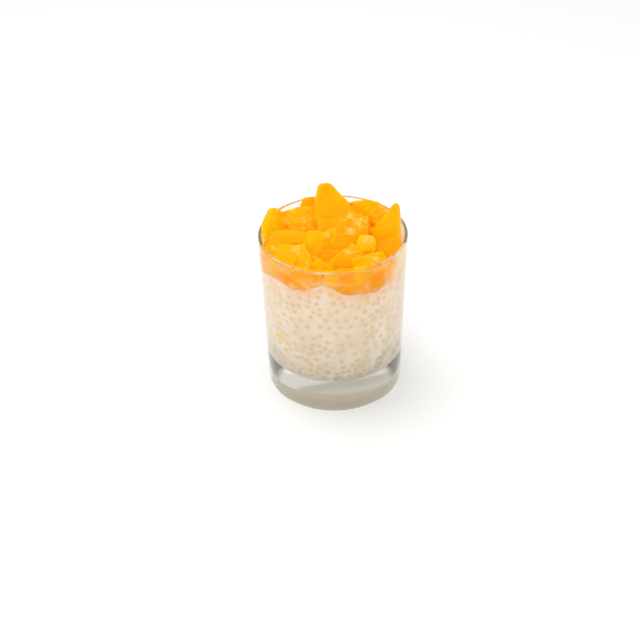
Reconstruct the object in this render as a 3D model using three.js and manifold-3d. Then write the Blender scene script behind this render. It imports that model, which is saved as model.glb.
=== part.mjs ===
// A tumbler of tapioca pudding under a heap of diced peach.
// Millimetres, +Z up; the origin is the middle of the tumbler's foot, on the table.
// The tumbler is blown thick at the bottom. The pudding fills it to just under the rim,
// and the peach lies on the pudding, against the glass and above the rim.
import * as THREE from "three";
import { mergeVertices } from "three/addons/utils/BufferGeometryUtils.js";
import Module from "manifold-3d";

const wasm = await Module();
wasm.setup();

// ---- Driving dimensions

const HEIGHT = 95;
const RIM_RADIUS = 40;
const FOOT_RADIUS = 38.3;
const RIM_WALL = 1.9; // thickness of the glass at the rim
const FLOOR_WALL = 2.8; // and where the wall meets the thick bottom
const FLOOR_HEIGHT = 21.5; // top of the thick bottom
const FLOOR_CORNER = 3;
const FOOT_CORNER = 3;
const PUNT_RADIUS = 29; // shallow hollow under the foot
const PUNT_DEPTH = 0.9;
const GLASS_FACETS = 60; // round the tumbler
const PUDDING_FACETS = 48; // and round the pudding
const CORNER_ROUNDING = 0.055; // of the cuts of peach
const GAP = 0.3; // between pieces that touch

const degrees = THREE.MathUtils.degToRad;

// ---- Solids

// The geometry as a manifold-3d solid, made of its positions alone, with shared points merged.
function solidOf(geometry) {
  const bare = new THREE.BufferGeometry();
  bare.setAttribute("position", geometry.getAttribute("position"));
  bare.setIndex(geometry.getIndex());
  const merged = mergeVertices(bare, 1e-3);
  return new wasm.Manifold(
    new wasm.Mesh({
      numProp: 3,
      vertProperties: new Float32Array(merged.getAttribute("position").array),
      triVerts: new Uint32Array(merged.getIndex().array),
    }),
  );
}

function geometryOf(solid) {
  const mesh = solid.getMesh();
  const geometry = new THREE.BufferGeometry();
  geometry.setAttribute("position", new THREE.BufferAttribute(mesh.vertProperties, 3));
  geometry.setIndex(new THREE.BufferAttribute(mesh.triVerts, 1));
  return geometry;
}

// The largest of the bodies that a cut leaves, once its slivers have closed up.
function largestBody(solid) {
  const bodies = solidOf(geometryOf(solid)).decompose();
  bodies.sort((a, b) => b.volume() - a.volume());
  return bodies[0];
}

// A profile of [radius, height] points turned round +Z.
function turned(profile, facets) {
  const points = profile.map(([radius, height]) => new THREE.Vector2(radius, height));
  return new THREE.LatheGeometry(points, facets).rotateX(Math.PI / 2);
}

// Points of an arc in a profile, from one angle to another, in degrees above the outward direction.
function arc(radius, height, bend, from, to, steps) {
  const points = [];
  for (let i = 0; i <= steps; i++) {
    const angle = degrees(from + ((to - from) * i) / steps);
    points.push([radius + bend * Math.cos(angle), height + bend * Math.sin(angle)]);
  }
  return points;
}

// ---- Tumbler

function outerRadius(height) {
  return FOOT_RADIUS + ((RIM_RADIUS - FOOT_RADIUS) * height) / HEIGHT;
}

function innerRadius(height) {
  const share = (height - FLOOR_HEIGHT) / (HEIGHT - FLOOR_HEIGHT);
  return outerRadius(height) - FLOOR_WALL - (RIM_WALL - FLOOR_WALL) * share;
}

function tumbler() {
  const lip = RIM_WALL / 2;
  const lipHeight = HEIGHT - lip;
  const profile = [
    [0, PUNT_DEPTH],
    [PUNT_RADIUS * 0.7, PUNT_DEPTH],
    [PUNT_RADIUS, 0],
    ...arc(outerRadius(FOOT_CORNER) - FOOT_CORNER, FOOT_CORNER, FOOT_CORNER, -90, 0, 2),
    ...arc(outerRadius(lipHeight) - lip, lipHeight, lip, 0, 180, 4),
    ...arc(
      innerRadius(FLOOR_HEIGHT + FLOOR_CORNER) - FLOOR_CORNER,
      FLOOR_HEIGHT + FLOOR_CORNER,
      FLOOR_CORNER,
      0,
      -90,
      3,
    ),
    [0, FLOOR_HEIGHT],
  ];
  return turned(profile, GLASS_FACETS);
}

// ---- Pudding

const PUDDING_CENTRE = 88; // height of the pudding's top under the middle of the fruit
// Height of the pudding's top edge at the glass, by degrees anticlockwise from the front.
const PUDDING_EDGE = [
  [-76, 77],
  [-48, 81.5],
  [-28, 80],
  [-6, 86.5],
  [8, 79.8],
  [23, 78],
  [38, 77],
  [48, 79.5],
  [70, 81.5],
  [84, 84],
  [100, 80.5],
  [124, 86.5],
  [158, 79.5],
  [190, 86],
  [222, 80],
  [256, 87],
];

// The height at an angle between the points of PUDDING_EDGE, eased from one to the next.
function edgeHeight(angle) {
  const turn = THREE.MathUtils.euclideanModulo(angle - PUDDING_EDGE[0][0], 360) + PUDDING_EDGE[0][0];
  const last = PUDDING_EDGE.length - 1;
  const after = PUDDING_EDGE.findIndex(([at]) => at > turn);
  const [fromAngle, fromHeight] = PUDDING_EDGE[after < 0 ? last : after - 1];
  const [toAngle, toHeight] = after < 0 ? PUDDING_EDGE[0] : PUDDING_EDGE[after];
  const span = THREE.MathUtils.euclideanModulo(toAngle - fromAngle, 360);
  const share = (turn - fromAngle) / span;
  return THREE.MathUtils.lerp(fromHeight, toHeight, share * share * (3 - 2 * share));
}

// Height of the pudding's top at a place, from its edge at the glass to the middle.
function puddingTop(x, y) {
  const radius = Math.hypot(x, y);
  const angle = THREE.MathUtils.radToDeg(Math.atan2(x, -y));
  const share = Math.min(1, radius / innerRadius(PUDDING_CENTRE));
  const dimples = 0.5 * Math.sin(x * 0.5 + 1) * Math.cos(y * 0.44);
  return THREE.MathUtils.lerp(PUDDING_CENTRE + dimples, edgeHeight(angle), share ** 3);
}

// The pudding, with its top raised or lowered by lift.
function pudding(lift = 0) {
  const bottom = FLOOR_HEIGHT + GAP;
  const corner = FLOOR_CORNER;
  const profile = [
    [0, bottom],
    ...arc(innerRadius(bottom + corner) - GAP - corner, bottom + corner, corner, -90, 0, 3),
  ];
  const wallSteps = 3;
  const wallFoot = bottom + corner;
  for (let i = 1; i <= wallSteps; i++) {
    const height = wallFoot + ((PUDDING_CENTRE - wallFoot) * i) / wallSteps;
    profile.push([innerRadius(height) - GAP, height]);
  }
  const edge = innerRadius(PUDDING_CENTRE) - GAP;
  const topSteps = 5;
  for (let i = topSteps - 1; i >= 0; i--) {
    profile.push([(edge * i) / topSteps, PUDDING_CENTRE]);
  }
  const geometry = turned(profile, PUDDING_FACETS);
  const place = geometry.getAttribute("position");
  for (let i = 0; i < place.count; i++) {
    const x = place.getX(i);
    const y = place.getY(i);
    const z = place.getZ(i);
    const share = Math.max(0, (z - wallFoot) / (PUDDING_CENTRE - wallFoot));
    const height = z + share * (puddingTop(x, y) + lift - PUDDING_CENTRE);
    const onWall = Math.hypot(x, y) > innerRadius(z) - GAP - 0.01 && share > 0;
    const slide = onWall ? (innerRadius(height) - GAP) / (innerRadius(z) - GAP) : 1;
    place.setXYZ(i, x * slide, y * slide, height);
  }
  return geometry;
}

// ---- Peach

// A cut of peach whose broad face looks to the front and is centred on the origin: wide along X,
// tall along Z and thick behind it. The face domes out by bulge, and narrows upwards to the share
// top of its width, by the power curve, while it slides sideways, bowed out by bow half way up.
// Then it rolls clockwise, leans back and turns its face to the right, all in degrees. With grow
// it is thicker all round.
function peachCut(cut, grow = 0) {
  const { size, top = 1, slide = 0, bow = 0, bulge = 0, at, cuts = 2 } = cut;
  const { curve = 1.8, roll = 0, lean = 0, facing = 0 } = cut;
  const [wide, thick, tall] = size;
  const geometry = new THREE.BoxGeometry(2, 2, 2, cuts, 2, cuts);
  const place = geometry.getAttribute("position");
  for (let i = 0; i < place.count; i++) {
    const x = place.getX(i);
    const y = place.getY(i);
    const z = place.getZ(i);
    const up = (z + 1) / 2;
    const narrow = 1 - (1 - top) * up ** curve;
    const corner = 1 - CORNER_ROUNDING * (x * x * y * y + y * y * z * z + z * z * x * x);
    const dome = ((1 - y) / 2) * bulge * (1 - x * x) * (1 - 0.6 * z * z);
    place.setXYZ(
      i,
      (wide / 2 + grow) * x * narrow * corner + slide * up + 4 * bow * up * (1 - up),
      thick / 2 + (thick / 2 + grow) * y * corner - dome,
      (tall / 2 + grow) * z * corner,
    );
  }
  const turn = new THREE.Euler(degrees(-lean), degrees(roll), degrees(facing), "ZXY");
  geometry.applyMatrix4(new THREE.Matrix4().makeRotationFromEuler(turn));
  geometry.translate(...at);
  return geometry;
}

// The pieces that show on top, the foremost first, because each later piece is cut to fit
// round the earlier ones.
const TOP_PIECES = {
  peak: {
    size: [26, 9, 30], cuts: 3, top: 0.28, slide: -7, bulge: 1.6,
    lean: 38, facing: 6, at: [4.3, 6.5, 105.4],
  },
  left_tall: {
    size: [15, 7, 25], top: 0.42, bulge: 1,
    lean: 20, roll: 24, facing: 34, at: [-30.6, -3, 97.6],
  },
  right_tall: {
    size: [25, 7, 27], cuts: 4, top: 0.1, curve: 0.85, slide: 8, bow: 1.2, bulge: 1.4,
    lean: 30, roll: -4, facing: -24, at: [23.2, -2, 99.3],
  },
  left_flat: {
    size: [16, 10, 25], cuts: 3, top: 0.35, curve: 1.2, bulge: 1.2,
    lean: 54, roll: 82, facing: -6, at: [-20.5, -9.5, 96.8],
  },
  middle_cube: {
    size: [10, 9, 15], top: 0.9, bulge: 1,
    lean: 40, roll: 4, facing: -10, at: [-10.2, -13.7, 96.3],
  },
  middle_wedge: {
    size: [13, 9, 15], top: 0.65,
    lean: 42, roll: -14, facing: 8, at: [0, -13, 96.5],
  },
  pale_cube: {
    size: [10, 8, 9], top: 0.8, bulge: 0.6,
    lean: 44, roll: 14, facing: 6, at: [17.6, -15.9, 97.8],
  },
  right_front: {
    size: [25, 9, 13], top: 0.8, slide: 3, bulge: 1.2,
    lean: 52, roll: -16, facing: -24, at: [26.4, -17, 94.2],
  },
  front_right: {
    size: [19, 9, 12], bulge: 0.4,
    lean: 46, roll: -3, facing: 18, at: [19.4, -27.2, 91.9],
  },
  front_middle: {
    size: [11, 9, 19], top: 0.75,
    lean: 44, roll: 50, facing: 4, at: [6.6, -24.8, 93.9],
  },
  front_small: {
    size: [11, 8, 9], bulge: 0.4,
    lean: 40, roll: 28, facing: -4, at: [-6.4, -30, 91],
  },
  front_left: {
    size: [12, 9, 16], top: 0.9, bulge: 0.3,
    lean: 44, roll: -30, facing: -16, at: [-17.5, -23, 93.4],
  },
  left_slope: {
    size: [15, 9, 15], bulge: 1,
    lean: 50, roll: -20, facing: -34, at: [-26, -20.5, 93],
  },
  left_bit: {
    size: [9, 6, 9],
    lean: 40, roll: 12, facing: -30, at: [-31.5, -14, 94.4],
  },
  under_cube: {
    size: [22, 9, 13], bulge: 0.8,
    lean: 52, facing: -2, at: [-4, -23.5, 91.9],
  },
  centre: {
    size: [18, 10, 16], bulge: 0.8,
    lean: 50, roll: 10, facing: 6, at: [9.6, -15, 95],
  },
  middle_back: {
    size: [28, 11, 19], bulge: 1.2,
    lean: 66, roll: 12, facing: 3, at: [5.6, -2.2, 100.8],
  },
  stone_side: {
    size: [23, 11, 20], bulge: 1.2,
    lean: 54, roll: -12, facing: -8, at: [-17.1, 7, 96.8],
  },
  left_back: {
    size: [14, 8, 14], top: 0.6, bulge: 0.8,
    lean: 34, roll: -8, facing: -10, at: [-12.4, 19.5, 97.8],
  },
  right_back: {
    size: [20, 12, 17], top: 0.75, bulge: 0.4,
    lean: 44, roll: 8, facing: 8, at: [18.6, 11.6, 98.8],
  },
  back_middle: {
    size: [20, 12, 17], bulge: 1,
    lean: 122, facing: 4, at: [3, 25.5, 98],
  },
  back_left: {
    size: [15, 10, 15], bulge: 0.8,
    lean: 100, roll: 30, facing: 24, at: [-19, 18, 93.5],
  },
  back_right: {
    size: [17, 10, 15], bulge: 0.8,
    lean: 108, roll: -24, facing: -30, at: [22, 22, 97],
  },
  right_side: {
    size: [16, 10, 14], bulge: 0.6,
    lean: 70, roll: 20, facing: 60, at: [31, 8, 95],
  },
  left_side: {
    size: [14, 9, 13], bulge: 0.6,
    lean: 70, roll: 10, facing: -70, at: [-30, 6, 92.5],
  },
};

// The lower pieces, a ring pressed against the glass: each by its degrees round from the front,
// its width, the height of its top and its roll.
const RING_PIECES = {
  wall_left: [-40, 27, 90, 8],
  wall_front: [-10, 14, 88, -6],
  wall_right: [13, 19, 88.5, 4],
  wall_tip: [35, 13, 90, -10],
  wall_side: [58, 17, 90, 5],
  wall_east: [86, 18, 91, -7],
  wall_north_east: [114, 19, 90.5, 6],
  wall_north: [144, 20, 90, -5],
  wall_back: [175, 20, 91, 7],
  wall_north_west: [205, 19, 88.5, -6],
  wall_west: [234, 19, 88.5, 4],
  wall_far_left: [268, 22, 89.5, -4],
};
const RING_THICK = 14;
const RING_TALL = 16;

function ringPieces() {
  const pieces = {};
  for (const [name, [angle, wide, top, roll]] of Object.entries(RING_PIECES)) {
    const height = top - RING_TALL / 2;
    const radius = innerRadius(height) + 1;
    pieces[name] = {
      size: [wide, RING_THICK, RING_TALL],
      lean: roll,
      roll,
      facing: angle,
      at: [radius * Math.sin(degrees(angle)), -radius * Math.cos(degrees(angle)), height],
    };
  }
  return pieces;
}

// Chips that have slipped down behind the front of the glass, each by its middle, its size and its
// turn.
const CHIPS = {
  chip_far_left: [[-16, -31.5, 91], [9, 5, 6], -26],
  chip_left: [[-8.5, -34.2, 90.6], [7, 5, 6.4], -14],
  chip_front: [[-1, -35, 90.2], [7.5, 4.4, 6], 4],
  chip_right: [[6.5, -34.6, 90.8], [8, 4.6, 6.4], 14],
  chip_far_right: [[14, -32.4, 90.4], [8, 5, 6.6], 22],
};

function chips() {
  const pieces = {};
  for (const [name, [[x, y, z], size, turn]] of Object.entries(CHIPS)) {
    const half = size[1] / 2;
    const facing = degrees(turn);
    pieces[name] = {
      size,
      cuts: 1,
      roll: turn / 2,
      facing: turn,
      at: [x + half * Math.sin(facing), y - half * Math.cos(facing), z],
    };
  }
  return pieces;
}

// Room for the fruit: inside the glass, straight up from the rim, and above the pudding.
function fruitRoom() {
  const bottom = FLOOR_HEIGHT + FLOOR_CORNER;
  const clearance = GAP + 0.05; // a little more than the pudding has
  const rim = innerRadius(HEIGHT) - clearance;
  const profile = [
    [0, bottom],
    [innerRadius(bottom) - clearance, bottom],
    [rim, HEIGHT],
    [rim, HEIGHT * 1.5],
    [0, HEIGHT * 1.5],
  ];
  return solidOf(turned(profile, PUDDING_FACETS)).subtract(solidOf(pudding(GAP)));
}

function peachPieces() {
  const room = fruitRoom();
  const fitted = {};
  let taken = null;
  for (const [name, cut] of Object.entries({ ...ringPieces(), ...TOP_PIECES, ...chips() })) {
    const whole = solidOf(peachCut(cut)).intersect(room);
    const rest = taken ? whole.subtract(taken) : whole;
    fitted[name] = largestBody(rest);
    const grown = solidOf(peachCut(cut, GAP));
    taken = taken ? taken.add(grown) : grown;
  }
  return fitted;
}

// ---- Assembly

const FINISHES = {
  glass: { color: "#dfe8e4", roughness: 0.05, metalness: 0, transparent: true, opacity: 0.35 },
  pudding: { color: "#eadcc4", roughness: 0.45, metalness: 0 },
  peach: { color: "#ffab12", roughness: 0.3, metalness: 0 },
};

function part(name, geometry, finish) {
  const mesh = new THREE.Mesh(geometry, new THREE.MeshStandardMaterial(FINISHES[finish]));
  mesh.name = name;
  return mesh;
}

const dessert = new THREE.Group();
dessert.add(part("tumbler", tumbler(), "glass"));
dessert.add(part("pudding", pudding(), "pudding"));
const fruit = new THREE.Group();
for (const [name, solid] of Object.entries(peachPieces())) {
  fruit.add(part(`peach_${name}`, geometryOf(solid), "peach"));
}
dessert.add(fruit);

export default dessert;
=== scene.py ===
import math
import random

import bmesh
import bpy
from mathutils import Matrix, Vector, noise
from mathutils.bvhtree import BVHTree
from mathutils.kdtree import KDTree


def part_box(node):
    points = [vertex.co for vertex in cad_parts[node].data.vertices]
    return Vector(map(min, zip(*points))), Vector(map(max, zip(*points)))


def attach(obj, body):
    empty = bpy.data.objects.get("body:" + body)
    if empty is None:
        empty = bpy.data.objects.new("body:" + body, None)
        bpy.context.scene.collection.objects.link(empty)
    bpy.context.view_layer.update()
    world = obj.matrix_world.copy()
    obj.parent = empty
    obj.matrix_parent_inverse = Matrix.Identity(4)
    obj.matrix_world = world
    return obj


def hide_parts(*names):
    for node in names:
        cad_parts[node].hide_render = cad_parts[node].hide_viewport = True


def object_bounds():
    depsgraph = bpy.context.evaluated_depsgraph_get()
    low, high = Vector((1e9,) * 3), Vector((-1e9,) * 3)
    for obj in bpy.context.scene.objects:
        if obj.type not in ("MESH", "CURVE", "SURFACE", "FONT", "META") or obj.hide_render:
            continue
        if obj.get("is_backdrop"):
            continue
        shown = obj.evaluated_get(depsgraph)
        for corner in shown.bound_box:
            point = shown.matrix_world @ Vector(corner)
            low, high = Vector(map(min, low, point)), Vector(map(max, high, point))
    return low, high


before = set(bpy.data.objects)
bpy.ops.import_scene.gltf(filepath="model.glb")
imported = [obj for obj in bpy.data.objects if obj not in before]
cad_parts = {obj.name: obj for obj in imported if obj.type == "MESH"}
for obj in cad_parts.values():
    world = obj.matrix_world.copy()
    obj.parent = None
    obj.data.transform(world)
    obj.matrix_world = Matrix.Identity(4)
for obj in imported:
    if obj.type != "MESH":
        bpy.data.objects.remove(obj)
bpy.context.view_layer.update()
scene = bpy.context.scene

# The tumbler is pressed soda-lime glass: a straight wall that tapers a little to the foot, on a
# bottom as thick as two fingers with a shallow hollow under it. The lip is nearly flat, and its
# corners are melted round. It is turned as one closed outline.
GLASS_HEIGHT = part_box("tumbler")[1].z
RIM_RADIUS = 0.0400
FOOT_RADIUS = 0.0383
RIM_WALL = 0.0019
FLOOR_WALL = 0.0028
FLOOR_HEIGHT = 0.0215
FLOOR_CORNER = 0.003
FLOOR_CORNER_STEPS = 12
LIP_CORNER = 0.0004
FOOT_CORNER = 0.003
CORNER_STEPS = 8
PUNT_RADIUS = 0.029  # of the hollow under the foot
PUNT_DEPTH = 0.0009
PUNT_SLOPE = [(0.55, 1.0), (0.8, 0.7), (0.93, 0.2)]  # shares of its radius, and of its depth there
GLASS_FACETS = 240
MERGED = 1e-6  # points nearer than this are one

GLASS_COLOUR = (0.93, 0.95, 0.92)
GLASS_SHADOW = (0.96, 0.98, 0.96)  # what is left of the light that reaches things through it
GLASS_IOR = 1.5
TRAPPED_AFTER = 5  # bounces, after which light inside the wall leaks out, dimmed
TRAPPED_LIGHT = (0.27, 0.23, 0.155)
LIP_PAINTED_HIGHLIGHT = (1.0, 0.84, 0.68)  # painted highlight: the leaking light is tinted pale in the lip at the front and the back
LIP_HIGHLIGHT_SIDES = (0.034, 0.024)  # it fades in from the sides
LIP_HIGHLIGHT_HEIGHTS = (0.076, 0.082)  # and up the wall


def outer_radius(height):
    return FOOT_RADIUS + (RIM_RADIUS - FOOT_RADIUS) * height / GLASS_HEIGHT


def inner_radius(height):
    share = (height - FLOOR_HEIGHT) / (GLASS_HEIGHT - FLOOR_HEIGHT)
    return outer_radius(height) - FLOOR_WALL - (RIM_WALL - FLOOR_WALL) * share


def arc(radius, height, bend, start, end, steps):
    """Points of an arc in an outline, its angles in degrees above the outward direction."""
    points = []
    for i in range(steps + 1):
        angle = math.radians(start + (end - start) * i / steps)
        points.append((radius + bend * math.cos(angle), height + bend * math.sin(angle)))
    return points


def turned(outline, facets):
    """A bmesh of an outline of (radius, height) points spun round +Z and closed on the axis."""
    bm = bmesh.new()
    verts = [bm.verts.new((radius, 0, height)) for radius, height in outline]
    edges = [bm.edges.new(pair) for pair in zip(verts, verts[1:])]
    bmesh.ops.spin(
        bm, geom=verts + edges, cent=(0, 0, 0), axis=(0, 0, 1),
        angle=2 * math.pi, steps=facets, use_merge=True,
    )
    bmesh.ops.remove_doubles(bm, verts=bm.verts, dist=MERGED)
    bmesh.ops.recalc_face_normals(bm, faces=bm.faces)
    return bm


def piece(name, mesh, material, slot, *nodes):
    """A finished piece at the origin that rides on the dessert's one body."""
    mesh.polygons.foreach_set("use_smooth", [True] * len(mesh.polygons))
    mesh.materials.append(material)
    made = bpy.data.objects.new(name, mesh)
    scene.collection.objects.link(made)
    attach(made, "root")
    if nodes:
        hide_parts(*nodes)


def mesh_of(name, bm):
    mesh = bpy.data.meshes.new(name)
    bm.to_mesh(mesh)
    bm.free()
    return mesh


def principled(name):
    """A new material, its node tree, and its Principled shader."""
    material = bpy.data.materials.new(name)
    material.use_nodes = True
    return material, material.node_tree, material.node_tree.nodes["Principled BSDF"]


def feed(tree, value, socket):
    """Links a socket to another one, or sets it to a number or a colour."""
    if isinstance(value, bpy.types.NodeSocket):
        tree.links.new(value, socket)
    elif isinstance(value, tuple):
        socket.default_value = (*value, 1)
    else:
        socket.default_value = value


def worked_out(tree, operation, first, second=0.0):
    """The result of a Math node on sockets or numbers."""
    node = tree.nodes.new("ShaderNodeMath")
    node.operation = operation
    feed(tree, first, node.inputs[0])
    feed(tree, second, node.inputs[1])
    return node.outputs[0]


def ranged(tree, value, low, high, to_low=0.0, to_high=1.0):
    """A value that goes from to_low to to_high as the given one goes from low to high."""
    node = tree.nodes.new("ShaderNodeMapRange")
    node.inputs["From Min"].default_value = low
    node.inputs["From Max"].default_value = high
    node.inputs["To Min"].default_value = to_low
    node.inputs["To Max"].default_value = to_high
    tree.links.new(value, node.inputs["Value"])
    return node.outputs["Result"]


def blended(tree, factor, first, second, kind="MIX"):
    """A colour mix of two sockets or colours."""
    node = tree.nodes.new("ShaderNodeMix")
    node.data_type = "RGBA"
    node.blend_type = kind
    feed(tree, factor, node.inputs[0])
    feed(tree, first, node.inputs[6])
    feed(tree, second, node.inputs[7])
    return node.outputs[2]


def see_through(tree, colour):
    node = tree.nodes.new("ShaderNodeBsdfTransparent")
    feed(tree, colour, node.inputs["Color"])
    return node.outputs[0]


def mixed_shader(tree, factor, first, second):
    node = tree.nodes.new("ShaderNodeMixShader")
    for value, socket in zip((factor, first, second), node.inputs):
        tree.links.new(value, socket)
    return node.outputs[0]


def object_place(tree):
    """The place on the object, and its X, Y and Z."""
    place = tree.nodes.new("ShaderNodeTexCoord").outputs["Object"]
    split = tree.nodes.new("ShaderNodeSeparateXYZ")
    tree.links.new(place, split.inputs[0])
    return place, *split.outputs


lip_height = GLASS_HEIGHT - LIP_CORNER
corner_height = FLOOR_HEIGHT + FLOOR_CORNER
corner_middle = inner_radius(corner_height) - FLOOR_CORNER
glass_outline = [
    (0, PUNT_DEPTH),
    *[(PUNT_RADIUS * out, PUNT_DEPTH * deep) for out, deep in PUNT_SLOPE],
    (PUNT_RADIUS, 0),
    *arc(outer_radius(FOOT_CORNER) - FOOT_CORNER, FOOT_CORNER, FOOT_CORNER, -90, 0, CORNER_STEPS),
    *arc(outer_radius(lip_height) - LIP_CORNER, lip_height, LIP_CORNER, 0, 90, CORNER_STEPS),
    *arc(inner_radius(lip_height) + LIP_CORNER, lip_height, LIP_CORNER, 90, 180, CORNER_STEPS),
    *arc(corner_middle, corner_height, FLOOR_CORNER, 0, -90, FLOOR_CORNER_STEPS),
    (0, FLOOR_HEIGHT),
]

glass, tree, shader = principled("clear_glass")
feed(tree, GLASS_COLOUR, shader.inputs["Base Color"])
shader.inputs["Roughness"].default_value = 0
shader.inputs["IOR"].default_value = GLASS_IOR
shader.inputs["Transmission Weight"].default_value = 1
ray = tree.nodes.new("ShaderNodeLightPath").outputs
lamp_or_bounce = worked_out(tree, "MAXIMUM", ray["Is Shadow Ray"], ray["Is Diffuse Ray"])
trapped = worked_out(tree, "GREATER_THAN", ray["Ray Depth"], TRAPPED_AFTER)
_, east, _, up = object_place(tree)
inward = ranged(tree, worked_out(tree, "ABSOLUTE", east), *LIP_HIGHLIGHT_SIDES)
lip_highlight = worked_out(tree, "MULTIPLY", inward, ranged(tree, up, *LIP_HIGHLIGHT_HEIGHTS))
# Toward the front and the back of the lip the leaking light is tinted pale: a painted highlight.
leak = see_through(tree, blended(tree, lip_highlight, TRAPPED_LIGHT, LIP_PAINTED_HIGHLIGHT))
leaking = mixed_shader(tree, trapped, shader.outputs[0], leak)
clear = mixed_shader(tree, lamp_or_bounce, leaking, see_through(tree, GLASS_SHADOW))
tree.links.new(clear, tree.nodes["Material Output"].inputs["Surface"])
glass_mesh = mesh_of("tumbler_mesh", turned(glass_outline, GLASS_FACETS))
piece("clear_tumbler", glass_mesh, glass, "glass", "tumbler")

# The pudding is milk and cream thickened by the starch of the tapioca. It is poured in and sets
# against the glass, so it fills the tumbler to the wall with no gap, up to the uneven level that
# the fruit presses into it. It is turned smooth and then raised or lowered to the modelled level.
SKIN = 0.0001  # how far it reaches into the glass
PUDDING_NOMINAL = 0.086
PUDDING_RAISED = 0.0010  # it rises round the fruit that it carries
PUDDING_WAVES = ((0.0011, 140), (0.0005, 420))  # of its edge: height, and number to a metre
PUDDING_LIP = 0.0005  # breadth of its level edge against the glass
PUDDING_CREASE = 0.00002  # either side of that edge
PUDDING_INSET = 0.0012  # how far inside the glass the modelled level is read
PUDDING_FACETS = 400
WALL_RINGS = 106
FLOOR_RINGS = 22
TOP_RINGS = 20
TOUCHING = 1e-5  # a point this near the wall is on it

cad_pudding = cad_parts["pudding"]
pudding_tree = BVHTree.FromPolygons(
    [v.co for v in cad_pudding.data.vertices],
    [p.vertices for p in cad_pudding.data.polygons],
)


def pudding_level(x, y):
    """Height of the modelled pudding's top at a place, taken just inside its edge."""
    radius = math.hypot(x, y)
    inside = min(1, (inner_radius(PUDDING_NOMINAL) - PUDDING_INSET) / max(radius, MERGED))
    hit = pudding_tree.ray_cast(Vector((x * inside, y * inside, 1)), Vector((0, 0, -1)))[0]
    return hit.z


def wavy(at, *waves):
    """An uneven amount at a place, from waves of (size, number to a metre)."""
    return sum(size * noise.noise(at * fine) for size, fine in waves)


floor = FLOOR_HEIGHT - SKIN
wall_foot = floor + FLOOR_CORNER
wall_outline = []
for i in range(1, WALL_RINGS + 1):
    height = wall_foot + (PUDDING_NOMINAL - wall_foot) * i / WALL_RINGS
    wall_outline.append((inner_radius(height) + SKIN, height))
floor_edge = inner_radius(wall_foot) + SKIN - FLOOR_CORNER
top_edge = wall_outline[-1][0]
wall_outline.insert(-1, (top_edge, PUDDING_NOMINAL - PUDDING_CREASE))
pudding_outline = [
    *[(floor_edge * i / FLOOR_RINGS, floor) for i in range(FLOOR_RINGS)],
    *arc(floor_edge, wall_foot, FLOOR_CORNER, -90, 0, FLOOR_CORNER_STEPS),
    *wall_outline,
    (top_edge - PUDDING_CREASE, PUDDING_NOMINAL),
    *[((top_edge - PUDDING_LIP) * i / TOP_RINGS, PUDDING_NOMINAL) for i in range(TOP_RINGS, -1, -1)],
]
pudding_bm = turned(pudding_outline, PUDDING_FACETS)
levels = {}
for v in pudding_bm.verts:
    share = (v.co.z - wall_foot) / (PUDDING_NOMINAL - wall_foot)
    if share <= 0:
        continue
    on_wall = v.co.xy.length > inner_radius(v.co.z) + SKIN - TOUCHING
    key = round(math.atan2(v.co.y, v.co.x), 4)
    if on_wall and key not in levels:
        rim = (v.co.xy.normalized() * top_edge).to_3d()
        levels[key] = pudding_level(rim.x, rim.y) + PUDDING_RAISED + wavy(rim, *PUDDING_WAVES)
    on_edge = on_wall or v.co.xy.length > top_edge - PUDDING_LIP * 1.1
    top = levels[key] if on_edge else pudding_level(v.co.x, v.co.y)
    height = v.co.z + share * (top - PUDDING_NOMINAL)
    if on_wall:
        v.co.xy *= (inner_radius(height) + SKIN) / v.co.xy.length
    v.co.z = height

# The pearls are cooked tapioca, about 2.5 mm across, and lie all through the cream. Those at the
# glass press flat against it and show as soft tan rounds, singly or in clusters, more of them
# lower down. Only the ones that touch the skin are made, each flattened and sunk to its own depth.
PEARL_TRIES = 9000
PEARL_SEED = 7
PEARL_RADIUS = (0.0015, 0.0018)  # of the flattened bead, half of which lies in the cream
PEARL_DEPTH = 0.0003  # half its thickness where it lies flat against the glass
PEARL_PROUD = (0.00006, 0.00014)  # how far it stands out of the cream
PEARL_SPACING = (0.0026, 0.0056)  # in a cluster, and in plain cream
PEARL_TOP = 0.0845
PEARL_SIDES = 9
PEARL_BANDS = 5
CROWD_USUAL = 0.32  # how crowded they lie, from 0 to 1, and what is added to it
CROWD_CLUSTERS = (1.1, 105)
CROWD_SHIFT = Vector((3, 1, 7))
CROWD_LOW = 0.3
CROWD_CHANCE = 0.2
LOW_PART = 0.05  # height above the floor over which they thin out
CLEAR_OF_FRUIT = 0.0018
CLEAR_OF_SHRED = 0.0014
FRUIT_NEAR = 0.06  # the fruit is out of reach below this height
PEARL_SOAKED = 0.012  # how far from the fruit its syrup colours a pearl
SHREDS = [  # of peach among them: degrees round from the front, height, size
    (-56, 0.0434, 0.0014),
    (-53.5, 0.0441, 0.0016),
    (-51, 0.0443, 0.0018),
    (-48.5, 0.0438, 0.0017),
    (-46.5, 0.0428, 0.0012),
]

TAPIOCA = (0.805, 0.555, 0.325)
TAPIOCA_PALE = (0.857, 0.613, 0.40)
PEARL_EDGE = (0.836, 0.588, 0.38)
PEARL_BLUSH = (0.92, 0.51, 0.29)
PEARL_CROWN = 0.0001  # height over which a pearl goes from its edge's colour to its own
PEARL_VEIL = 0.55  # the most that cream hides of one
PEARL_BLUSHED = 0.7  # the soaking that colours one wholly
# painted shade of the pudding's underside, seen through the thick bottom
CREAM_UNDER_SHADE = (0.62, 0.52, 0.41)
UNDER_DEPTH = 0.0025  # over which that painted shade comes in, up from the floor
PAINTED_SHADE_BY_HEIGHT = [  # painted shade, darker lower down: height, and what is left of the colour there
    (0.024, (0.62, 0.68, 0.72)),
    (0.030, (0.70, 0.745, 0.77)),
    (0.0345, (0.75, 0.80, 0.83)),
    (0.039, (0.795, 0.855, 0.88)),
    (0.047, (0.83, 0.89, 0.90)),
    (0.055, (0.87, 0.905, 0.92)),
    (0.063, (0.90, 0.93, 0.93)),
    (0.079, (0.94, 0.94, 0.94)),
]

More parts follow.
